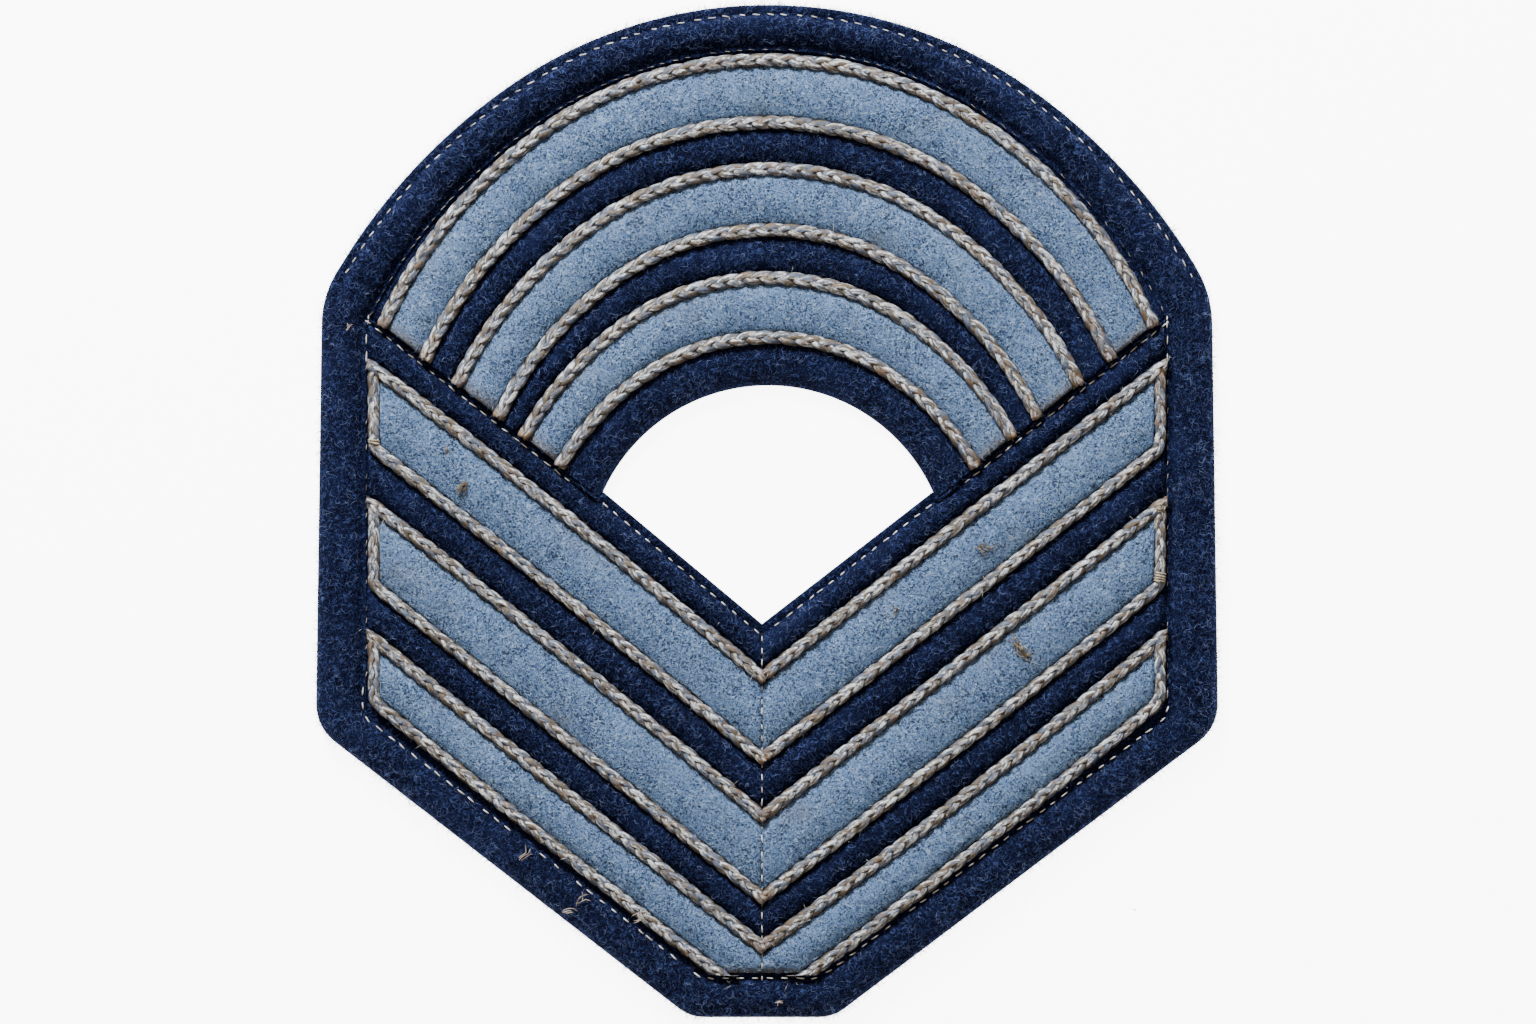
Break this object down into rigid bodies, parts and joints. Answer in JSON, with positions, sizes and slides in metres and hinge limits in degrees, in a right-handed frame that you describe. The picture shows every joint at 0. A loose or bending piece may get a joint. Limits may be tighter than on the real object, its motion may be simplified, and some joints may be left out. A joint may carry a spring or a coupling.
{
  "type": "rank insignia",
  "caption": "Sewn sleeve rank insignia: cord-edged felt arcs over cord-edged felt chevrons, with a fan-shaped opening between them and a padded felt binding round the edge.",
  "frame": {"origin": "middle of the outline's box on the back face, which lies at Z = 0", "axes": "+Z out of the face, +Y towards the top of the arcs, +X towards the right of the badge seen from the front"},
  "size_m": [0.1802, 0.2024, 0.0045],
  "materials": {
    "navy_felt": "napped wool felt",
    "light_blue_felt": "napped wool felt",
    "braided_cord": "braided cotton and rayon cord"
  },
  "bodies": {
    "root": {"arc_ground": "navy_felt", "chevron_ground_left": "navy_felt", "chevron_ground_right": "navy_felt", "edge_binding": "navy_felt", "arc_bar_1": "light_blue_felt", "arc_bar_2": "light_blue_felt", "arc_bar_3": "light_blue_felt", "chevron_bar_1_left": "light_blue_felt", "chevron_bar_1_right": "light_blue_felt", "chevron_bar_2_left": "light_blue_felt", "chevron_bar_2_right": "light_blue_felt", "chevron_bar_3_left": "light_blue_felt", "chevron_bar_3_right": "light_blue_felt", "arc_cord_1": "braided_cord", "arc_cord_2": "braided_cord", "arc_cord_3": "braided_cord", "arc_cord_4": "braided_cord", "arc_cord_5": "braided_cord", "arc_cord_6": "braided_cord", "chevron_cord_1_left": "braided_cord", "chevron_cord_1_right": "braided_cord", "chevron_cord_2_left": "braided_cord", "chevron_cord_2_right": "braided_cord", "chevron_cord_3_left": "braided_cord", "chevron_cord_3_right": "braided_cord"}
  },
  "joints": []
}
